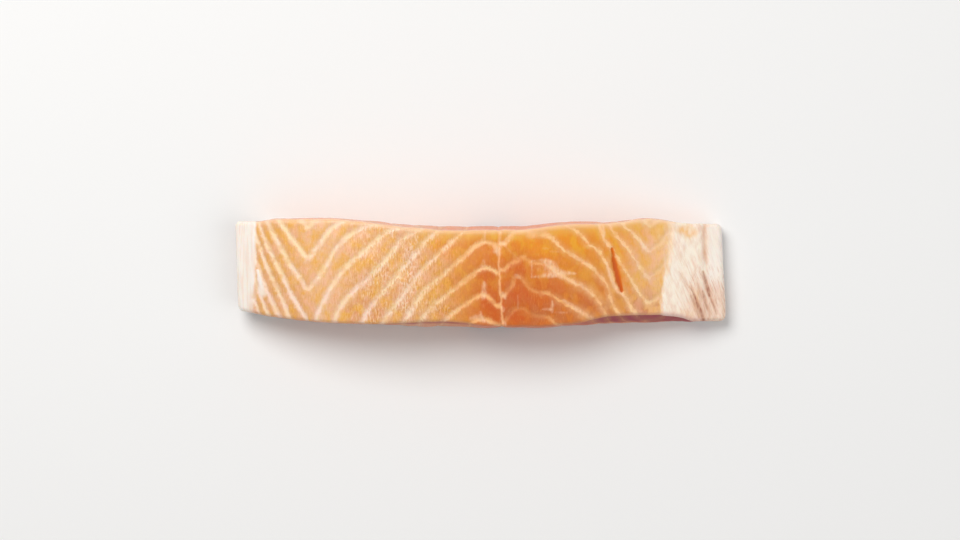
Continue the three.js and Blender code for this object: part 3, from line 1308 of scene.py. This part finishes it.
    def _with_sides(self, bench: FleshBench, flesh: Tint, painted_shade: Reading) -> Tint:
        """Gives both cut faces their own tones, with painted shade under the near top edge and
        painted light on the far face.

        Args:
            bench: the material's nodes.
            flesh: the tone so far.
            painted_shade: how strong the painted shade under the near top edge is.

        Returns:
            The changed tone.
        """
        flesh = flesh.toward(self.side, bench.in_side * 0.6)
        # Painted shade under the near top edge.
        flesh = flesh.toward(self.painted_shade_tone, painted_shade * 0.8)
        # Painted reflected light on the upper far cut face.
        far_side = bench.y.rise(14, 16) * bench.in_side * bench.depth.fall(0, 9)
        return flesh.toward(self.far_face_painted_light, far_side * 0.4)

    def _with_fibres(self, bench: FleshBench, flesh: Tint, layers: Layers) -> Tint:
        """Lays bright and dull fibres, partly painted highlight and shade, and a painted sheen
        along the far edge.

        Args:
            bench: the material's nodes.
            flesh: the tone so far.
            layers: the layers that it shares with the relief.

        Returns:
            The changed tone.
        """
        x, fibres = bench.x, layers.fibres
        patchy = 0.5 + 0.8 * bench.noise(0.17).rise(0.4, 0.6)
        coarse = 0.4 + 0.6 * patchy * x.band(-62, -44, -16, 0) + 0.5 * bench.rough
        coarse = coarse * (1 - 0.35 * bench.in_side - 0.5 * layers.painted_shade)
        # Raised fibres get a painted highlight; sunken ones a darker tone, with more painted shade
        # toward the near side.
        bright = bench.mix(self.warm_fibre_highlight, self.bright_fibre_highlight, bench.pale_zone)
        flesh = flesh.toward(bright, fibres.rise(0.51, 0.65) * 0.58 * coarse)
        shaded = 0.45 + 0.2 * bench.y.fall(-4, 6)
        flesh = flesh.toward(self.dull_fibre, fibres.fall(0.36, 0.49) * coarse * shaded)
        sheen = bench.trait(Trait.FROM_FAR).fall(1.5, 6.5) * x.band(-36, -20, 76, 84)
        return flesh.toward(self.gold, sheen * (1 - bench.in_side) * 0.5)

    def _septum_tone(self, bench: FleshBench, faint: Reading) -> Tint:
        """The septa's tone, which is pinker near the back and warmer by the midline.

        Args:
            bench: the material's nodes.
            faint: where the septa fade into the flesh.

        Returns:
            The tone at each point.
        """
        x, y = bench.x, bench.y
        tint = bench.noise(0.16, 1.0)
        tone = bench.mix(self.warm_septum, self.septum, bench.pale_zone)
        pinker = tint.rise(0.46, 0.6) * 0.5 + 0.6 * y.fall(-12, 2) * x.fall(-48, -38)
        tone = tone.toward(self.pink_septum, pinker.at_most(1.0) * bench.pale_zone)
        tone = tone.toward(self.yellow_septum, tint.fall(0.4, 0.52) * 0.25)
        warm = 0.6 * x.band(-14, -4, 34, 44) * y.fall(-8, 4)
        orange = (faint * 0.8).at_least(warm).at_least(bench.in_side * 0.3)
        return tone.toward(self.orange_septum, orange)

    def _with_septa(self, bench: FleshBench, flesh: Tint, layers: Layers) -> Tint:
        """Lays the septa and the midline over the flesh, with painted shade on both sides of each
        septum.

        Args:
            bench: the material's nodes.
            flesh: the tone so far.
            layers: the layers that it shares with the relief.

        Returns:
            The changed tone.
        """
        x, y, in_side = bench.x, bench.y, bench.in_side
        # Painted shade: a darker band on both sides of each septum.
        rim = bench.mix(self.warm_septum_shade, self.pale_septum_shade, bench.pale_zone)
        flesh = flesh.toward(rim, layers.away.fall(0.8, 3.2) * (0.1 + 0.14 * bench.pale_zone))
        faint = x.band(6, 12, 22, 32) * y.fall(9, 14)
        quiet = x.band(7, 11, 26, 36) * (0.22 * y.fall(-2, 5) + 0.24 * y.fall(-14, -8))
        tip = abs(abs(x + 0.6) - 71.2).fall(2, 7) * bench.depth.fall(3, 8)
        show = (0.98 - 0.3 * faint - quiet) * (1 - 0.45 * x.band(69, 73, 78, 84))
        show = show * (1 - in_side * (0.35 + 0.5 * tip) - 0.3 * layers.painted_shade)
        flesh = flesh.toward(self._septum_tone(bench, faint), layers.line * show)
        return flesh.toward(self.midline, self._midline(bench) * (1 - 0.4 * in_side))

    def _with_edge_highlights(self, bench: FleshBench, flesh: Tint) -> Tint:
        """Paints highlights along both top edges, where the rounded cut edges would catch the
        light.

        Args:
            bench: the material's nodes.
            flesh: the tone so far.

        Returns:
            The changed tone.
        """
        x, depth = bench.x, bench.depth
        far_rim = bench.trait(Trait.FROM_FAR).fall(-0.8, 3.0) * depth.fall(0.6, 2.4)
        flesh = flesh.toward(self.far_edge_highlight, far_rim * (0.76 + 0.24 * x.rise(46, 60)))
        near_rim = bench.trait(Trait.FROM_NEAR).fall(0.0, 1.6) * depth.fall(0.5, 1.0)
        return flesh.toward(self.near_edge_highlight, near_rim * (0.35 + 0.5 * x.rise(54, 60)))

    def _with_tears(self, bench: FleshBench, flesh: Tint) -> Tint:
        """Lays pale flecks, torn patches and the gape over the flesh; the gape has painted shade,
        darker on its back-side wall and toward its near end.

        Args:
            bench: the material's nodes.
            flesh: the tone so far.

        Returns:
            The changed tone.
        """
        x, y = bench.x, bench.y
        flecks = bench.noise(1.0, 1.0, (1.3, 0.6, 1.0)).rise(0.5, 0.64)
        flesh = flesh.toward(self.fleck, flecks * bench.rough * x.fall(0, 8) * 0.42)
        brushed = bench.noise(1.0, 4.0, (1.1, 0.5, 1.0))
        torn = bench.trait(Trait.PALE) * (0.15 + 1.6 * brushed)
        flesh = flesh.toward(self.torn, torn.rise(0.1, 1.15) * 0.9)
        gape = bench.trait(Trait.GAPE) * (1 + (brushed - 0.5) * 2.0)
        # Painted shade in the gape: the shade tone on the back side of its middle line, lighter
        # toward the far end.
        past_middle = x + y * self.gape_slant - self.gape_middle
        wall = bench.mix(self.gape_shade, self.gape, past_middle.rise(-0.9, 1.1))
        wall = wall.toward(self.gape, y.rise(3, 11) * 0.5)
        return flesh.toward(wall, gape.rise(0.08, 0.7 + past_middle.rise(-0.6, 0.8) * 0.6))

    def _flesh(self, bench: FleshBench, layers: Layers) -> Tint:
        """The muscle with its fibres, septa, torn patches and gape.

        Args:
            bench: the material's nodes.
            layers: the layers that it shares with the relief.

        Returns:
            The tone at each point.
        """
        flesh = self._with_sides(bench, self._muscle(bench), layers.painted_shade)
        flesh = self._with_fibres(bench, flesh, layers)
        flesh = self._with_septa(bench, flesh, layers)
        return self._with_tears(bench, self._with_edge_highlights(bench, flesh))

    def _lining(self, bench: FleshBench, diagonal: Reading) -> Tint:
        """The belly's pale lining, with its folds and veins.

        Args:
            bench: the material's nodes.
            diagonal: the lining's slanting grain.

        Returns:
            The tone at each point.
        """
        x, y = bench.x, bench.y
        cloudy = bench.noise(1.0, 3.0, (0.5, 0.2, 0.5))
        rosier = x.rise(80, 90) * y.fall(-14, 6)
        shade = diagonal.rise(0.45, 0.7) * 0.4 + cloudy.rise(0.45, 0.65) * 0.35 + rosier * 0.5
        lining = bench.mix(self.lining, self.lining_shade, shade)
        fold = bench.mix(self.fold, self.pink_fold, x.rise(90.5, 92.5))
        lining = lining.toward(fold, bench.trait(Trait.FOLD) * (2.0 * cloudy - 0.25).at_least(0.1))
        lining = lining.toward(self.fat, x.rise(94.4, 96.6) * y.rise(-12, 2) * 0.75)
        near_rim = bench.trait(Trait.FROM_NEAR).fall(0.2, 2.6) * x.fall(90, 98)
        lining = lining.toward(self.lining_rim, near_rim * 0.6)
        return self._with_veins(bench, lining, diagonal)

    def _with_veins(self, bench: FleshBench, lining: Tint, diagonal: Reading) -> Tint:
        """Lays fine hairs and broken veins over the lining.

        Args:
            bench: the material's nodes.
            lining: the tone so far.
            diagonal: the lining's slanting grain.

        Returns:
            The changed tone.
        """
        hairs = bench.noise(1.0, 2.0, (2.6, 0.22, 1.0), -0.32)
        near = bench.y.fall(-4, 6) * bench.x.rise(82, 90)
        lining = lining.toward(self.hair, hairs.fall(0.34, 0.5) * (0.1 + 0.45 * near))
        broken = bench.noise(0.9, 3.0, (1.0, 0.6, 1.0)).rise(0.3, 0.62)
        vein = bench.trait(Trait.VEIN)
        lining = lining.toward(self.pink_fold, vein.rise(0.02, 0.6) * 0.5)
        vein = vein * (0.1 + 0.9 * diagonal + 0.9 * hairs)
        return lining.toward(self.vein, vein.rise(0.2, 1.1) * (0.5 + 0.5 * broken))

    def _outer(self, bench: FleshBench, line: Reading) -> Tint:
        """The side that lay next to the skin.

        Args:
            bench: the material's nodes.
            line: how much of a septum shows.

        Returns:
            The tone at each point.
        """
        clouds = bench.noise(0.16, 4.0)
        outer = bench.mix(self.outer, self.outer_grey, clouds.rise(0.4, 0.65))
        return outer.toward(self.side, line * 0.25)

    def _dark_muscle(self, bench: FleshBench) -> Reading:
        """The dark muscle: a wedge under the fish's midline, with two long thin arms.

        Args:
            bench: the material's nodes.

        Returns:
            How much of it shows at each point.
        """
        from_middle = abs(bench.x - 6 + (bench.noise(0.25, 3.0) - 0.5) * 5)
        top = 5.6 * from_middle.fall(1, 15) + 1.7 * from_middle.fall(10, 46)
        return (bench.height - top).fall(-1.0, 0.6)

    def _covers(self, bench: FleshBench) -> tuple[Reading, Reading]:
        """Where the fat and the lining lie, with ragged borders.

        Args:
            bench: the material's nodes.

        Returns:
            How far the fat, and how far the lining, covers each point.
        """
        y, depth = bench.y, bench.depth
        ragged = (bench.noise(0.8, 3.0, (1.0, 0.35, 1.0)) - 0.5) * 2
        border = 0.7 + 1.8 * y.fall(-11, -3) * depth.fall(1, 2.5)
        fat = (bench.trait(Trait.FAT) + ragged * 0.7).rise(border * -1.0, border)
        border = 1.1 + 2.2 * y.rise(-6, 8)
        lining = (bench.trait(Trait.LINING) + 0.5 + ragged * 1.6).rise(border * -1.0, border)
        end = bench.x + ragged * 1.2 + 5 * depth.fall(1, 7)
        return fat, (lining * depth.fall(0.9, 1.8)).at_least(end.rise(97, 98.6))

    def _colour(self, bench: FleshBench, layers: Layers) -> Tint:
        """All the tones, laid over each other from the muscle outwards.

        Args:
            bench: the material's nodes.
            layers: the layers that they share with the relief.

        Returns:
            The tone at each point.
        """
        shaded = layers.streaks.rise(0.4, 0.66) * bench.x.fall(-93.5, -91.5) * 0.75
        fat = bench.mix(self.fat, self.fat_shade, shaded)
        colour = self._flesh(bench, layers).toward(fat, layers.fat)
        colour = colour.toward(self._outer(bench, layers.line), bench.height.fall(0.3, 0.9))
        colour = colour.toward(self.dark_muscle, self._dark_muscle(bench) * 0.75)
        return colour.toward(self._lining(bench, layers.diagonal), layers.lining)

    def material(self) -> bpy.types.Material:
        """Builds the material.

        Returns:
            A material that reads the fillet's traits.
        """
        bench = FleshBench("raw_salmon")
        line, away = self._septa(bench)
        fat, lining = self._covers(bench)
        fibres, painted_shade = self._fibres(bench), self._painted_shade(bench)
        diagonal = bench.noise(1.0, 3.0, (1.1, 0.09, 0.5), -0.42)
        streaks = bench.noise(1.0, 3.0, (1.0, 0.1, 1.0))
        layers = Layers(line, away, fibres, painted_shade, diagonal, streaks, fat, lining)
        bare = 1 - (fat + lining).at_most(1.0)
        grain = bench.noise(2.6, 3.0)
        relief = (fibres * 0.6 - line * 0.5) * bare + grain * 0.22
        relief = relief + diagonal * 0.5 * lining + streaks * 0.4 * fat
        bump = bench.node("ShaderNodeBump", inputs={
            "Strength": 0.55, "Distance": 0.45 * MM, "Height": relief,
        })
        # Where the shade is painted, the surface is duller and has no coat, so that no reflection
        # lightens it.
        shader = bench.node("ShaderNodeBsdfPrincipled", inputs={
            "Base Color": self._colour(bench, layers),
            "Roughness": self.roughness + (grain - 0.5) * 0.2 + 0.06 * line + 0.4 * painted_shade,
            "IOR": 1.4,
            "Subsurface Weight": 0.2,
            "Subsurface Radius": (1.0, 0.42, 0.2),
            "Subsurface Scale": 1.4 * MM,
            "Coat Weight": 0.35 * bench.trait(Trait.GAPE).fall(0.1, 0.4) * (1 - painted_shade),
            "Coat Roughness": 0.13,
            "Coat IOR": 1.35,
            "Normal": bump.outputs["Normal"],
        })
        return bench.finish(shader)


# ----------------------------------------------------------------------------------------------
# The fillet
# ----------------------------------------------------------------------------------------------


def vectors_of(items: bpy.types.bpy_prop_collection, name: str) -> Field:
    """Reads a vector that each item of a mesh carries.

    Args:
        items: the mesh's vertices or normals.
        name: the vector's name.

    Returns:
        The vectors, a row for each item.
    """
    values = np.zeros(len(items) * 3)
    items.foreach_get(name, values)
    return values.reshape(-1, 3)


@dataclass(frozen=True)
class Fillet:
    """The whole strip as one closed skin of fine faces.

    Attributes:
        form, muscle, marks, relief, finish: what the strip is made from.
        faces_along, faces_across, faces_down: how many faces the skin has each way.
        smooth_angle: the sharpest angle, in degrees, that is still shaded smooth.
        calm_foot: the share of the sides' height over which the relief fades in from the bottom.
        calm_end: how far in from both ends the relief of the sides is calmer.
        calm_share: the share of it that is left at the ends.
        top_row: the height in the unit block above which a point is on the top face.
    """

    form: StripForm
    muscle: Muscle
    marks: Marks
    relief: Relief
    finish: RawSalmon
    faces_along: int = 400
    faces_across: int = 84
    faces_down: int = 22
    smooth_angle: float = 50.0
    calm_foot: float = 0.12
    calm_end: float = 4.0
    calm_share: float = 0.25
    top_row: float = 0.999

    def _block(self) -> bpy.types.Object:
        """A unit block of fine faces: a grid drawn up, its upright edges cut into rows.

        Returns:
            The block, with its normals facing out.
        """
        bpy.ops.object.select_all(action="DESELECT")
        bpy.ops.mesh.primitive_grid_add(
            x_subdivisions=self.faces_along,
            y_subdivisions=self.faces_across,
            size=1.0,
            location=(0.5, 0.5, 0.0),
        )
        block = bpy.context.object
        block.name = "salmon_fillet"
        block.data.name = "salmon_fillet"
        bpy.ops.object.transform_apply(location=True, rotation=True, scale=True)
        bpy.ops.object.mode_set(mode="EDIT")
        bpy.ops.mesh.select_all(action="SELECT")
        bpy.ops.mesh.extrude_region_move(TRANSFORM_OT_translate={"value": (0, 0, 1)})
        bpy.ops.object.mode_set(mode="OBJECT")
        self._select_upright_edges(block.data)
        bpy.ops.object.mode_set(mode="EDIT")
        bpy.ops.mesh.subdivide(number_cuts=self.faces_down - 1)
        bpy.ops.mesh.select_all(action="SELECT")
        bpy.ops.mesh.normals_make_consistent(inside=False)
        bpy.ops.object.mode_set(mode="OBJECT")
        return block

    @staticmethod
    def _select_upright_edges(mesh: bpy.types.Mesh) -> None:
        """Selects the edges that join the block's underside to its top.

        Args:
            mesh: the unit block, before it is cut into rows.
        """
        ends = np.zeros(len(mesh.edges) * 2, int)
        mesh.edges.foreach_get("vertices", ends)
        z = vectors_of(mesh.vertices, "co")[:, 2][ends.reshape(-1, 2)]
        bpy.context.tool_settings.mesh_select_mode = (False, True, False)
        mesh.vertices.foreach_set("select", np.zeros(len(mesh.vertices), bool))
        mesh.polygons.foreach_set("select", np.zeros(len(mesh.polygons), bool))
        mesh.edges.foreach_set("select", np.abs(z[:, 0] - z[:, 1]) > 0.5)

    def _traits(self, at: Points, on_top: Field, normals: Field) -> dict[Trait, Field]:
        """The numbers that the relief and the finish read.

        Args:
            at: the points of the skin.
            on_top: which of them lie on the top face.
            normals: the surface's direction at each point.

        Returns:
            One array for each trait.
        """
        form, marks, x, y = self.form, self.marks, at.x, at.y
        far, near = form.far_edge.at(x), form.near_edge.at(x)
        height = at.z - form.base(x)
        flat_y = np.clip(y, near, far)
        fat = [marks.back_fat.at(flat_y) - x, marks.fat_layer(x) - height, marks.lobe(x, y, on_top)]
        traits = {
            Trait.PHASE: self.muscle.phase(x, y, at.depth),
            Trait.SPREAD: self.muscle.spread(at, normals),
            Trait.MIDLINE: x - self.muscle.midline.at(flat_y),
            Trait.LINING: x - marks.lining.at(flat_y),
            Trait.FAT: np.maximum.reduce(fat),
            Trait.HEIGHT: height,
            Trait.DEPTH: at.depth,
            Trait.FROM_FAR: far - y,
            Trait.FROM_NEAR: y - near,
        }
        for trait, strokes in marks.drawings().items():
            traits[trait] = drawn(strokes, x, y) * on_top
        return traits

    def _shape(self, mesh: bpy.types.Mesh) -> dict[Trait, Field]:
        """Puts the block's points on the strip and gives it its relief.

        Args:
            mesh: the unit block.

        Returns:
            The traits of its points.
        """
        u, v, w = np.clip(vectors_of(mesh.vertices, "co"), 0.0, 1.0).T
        at = self.form.place(u, v, w)
        self._move(mesh, at.x, at.y, at.z)
        normals = vectors_of(mesh.vertex_normals, "vector")
        on_top = w > self.top_row
        traits = self._traits(at, on_top, normals)
        from_end = np.minimum(np.minimum(u, 1 - u) * self.form.length / self.calm_end, 1.0)
        lift = self.relief.at(at, traits) * ease(w, 0.0, self.calm_foot)
        lift *= np.where(on_top, 1.0, self.calm_share + (1 - self.calm_share) * from_end)
        x, y, z = np.stack([at.x, at.y, at.z]) + normals.T * lift
        self._move(mesh, *self._centred(x, y), z)
        return traits

    def build(self) -> bpy.types.Object:
        """Builds the fillet over its solid.

        Returns:
            The finished piece, riding on the part's body.
        """
        piece = self._block()
        mesh = piece.data
        for trait, values in self._shape(mesh).items():
            mesh.attributes.new(trait.value, "FLOAT", "POINT").data.foreach_set("value", values)
        bpy.ops.object.shade_smooth_by_angle(angle=math.radians(self.smooth_angle))
        mesh.materials.clear()
        mesh.materials.append(self.finish.material())
        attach(piece, "root")
        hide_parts("fillet")
        return piece

    @staticmethod
    def _centred(x: Field, y: Field) -> tuple[Field, Field]:
        """Moves the strip's middle to that of its solid.

        Args:
            x: places along the strip.
            y: places across it.

        Returns:
            The moved places.
        """
        low, high = (np.array(corner) / MM for corner in CAD_BOX)
        middle = (low + high) / 2
        return (
            x - (x.min() + x.max()) / 2 + middle[0],
            y - (y.min() + y.max()) / 2 + middle[1],
        )

    @staticmethod
    def _move(mesh: bpy.types.Mesh, x: Field, y: Field, z: Field) -> None:
        """Gives a mesh's vertices their places, from millimetres."""
        mesh.vertices.foreach_set("co", (np.stack([x, y, z], axis=1) * MM).ravel())
        mesh.update()


# ----------------------------------------------------------------------------------------------
# The studio
# ----------------------------------------------------------------------------------------------


@dataclass(frozen=True)
class Lamp:
    """A soft lamp that faces the middle of the strip, with its place and size in metres."""

    name: str
    place: tuple[float, float, float]
    size: float
    watts: float
    tint: tuple[float, float, float] = (1.0, 1.0, 1.0)

    def hang(self) -> None:
        """Puts the lamp in the scene."""
        light = bpy.data.lights.new(self.name, "AREA")
        light.shape = "DISK"
        light.size = self.size
        light.energy = self.watts
        light.color = self.tint
        lamp = bpy.data.objects.new(self.name, light)
        lamp.location = self.place
        lamp.rotation_euler = (-Vector(self.place)).to_track_quat("-Z", "Y").to_euler()
        bpy.context.scene.collection.objects.link(lamp)


@dataclass(frozen=True)
class Studio:
    """A pale table under soft lamps, seen from straight above."""

    table_tone: Tone = (240, 240, 240)
    table_size: float = 6.0
    camera_place: tuple[float, float, float] = (-0.0004, 0.0012, 1.52)
    lens: float = 135.0
    sky: float = 0.34
    lamps: tuple[Lamp, ...] = (
        Lamp("key", (-0.45, 0.65, 1.1), 0.9, 13.6, (1.0, 0.985, 0.96)),
        Lamp("fill", (0.9, -0.3, 0.9), 1.2, 4.0),
    )

    def _lay_table(self) -> None:
        """Adds the table."""
        bpy.ops.object.select_all(action="DESELECT")
        bpy.ops.mesh.primitive_plane_add(size=self.table_size, location=(0, 0, 0))
        table = bpy.context.object
        table.name = "table"
        bench = Bench("pale_table")
        shader = bench.node("ShaderNodeBsdfPrincipled", inputs={
            "Base Color": linear(self.table_tone), "Roughness": 0.85,
        })
        table.data.materials.append(bench.finish(shader))

    def _light_room(self) -> None:
        """Hangs the lamps and adds the soft light that comes from all round."""
        for lamp in self.lamps:
            lamp.hang()
        world = bpy.data.worlds.new("soft_light")
        world.use_nodes = True
        background = world.node_tree.nodes["Background"].inputs
        background["Color"].default_value = (1, 1, 1, 1)
        background["Strength"].default_value = self.sky
        bpy.context.scene.world = world
        bpy.context.scene.view_settings.view_transform = "Standard"

    def _aim_camera(self) -> None:
        """Adds the camera, straight above the strip."""
        camera = bpy.data.objects.new("camera", bpy.data.cameras.new("camera"))
        camera.data.lens = self.lens
        camera.location = self.camera_place
        bpy.context.scene.collection.objects.link(camera)
        bpy.context.scene.camera = camera

    def set_up(self) -> None:
        """Adds the table, the lamps, the surrounding light and the camera."""
        self._lay_table()
        self._light_room()
        self._aim_camera()


def main() -> None:
    """Builds the fillet and its studio."""
    logging.basicConfig(level=logging.INFO, format="%(name)s: %(message)s")
    form = StripForm()
    piece = Fillet(form, Muscle(form), Marks(), Relief(), RawSalmon()).build()
    LOG.info("fillet: %d faces", len(piece.data.polygons))
    Studio().set_up()
    LOG.info("studio: table, lamps and camera")


if __name__ == "__main__":
    main()
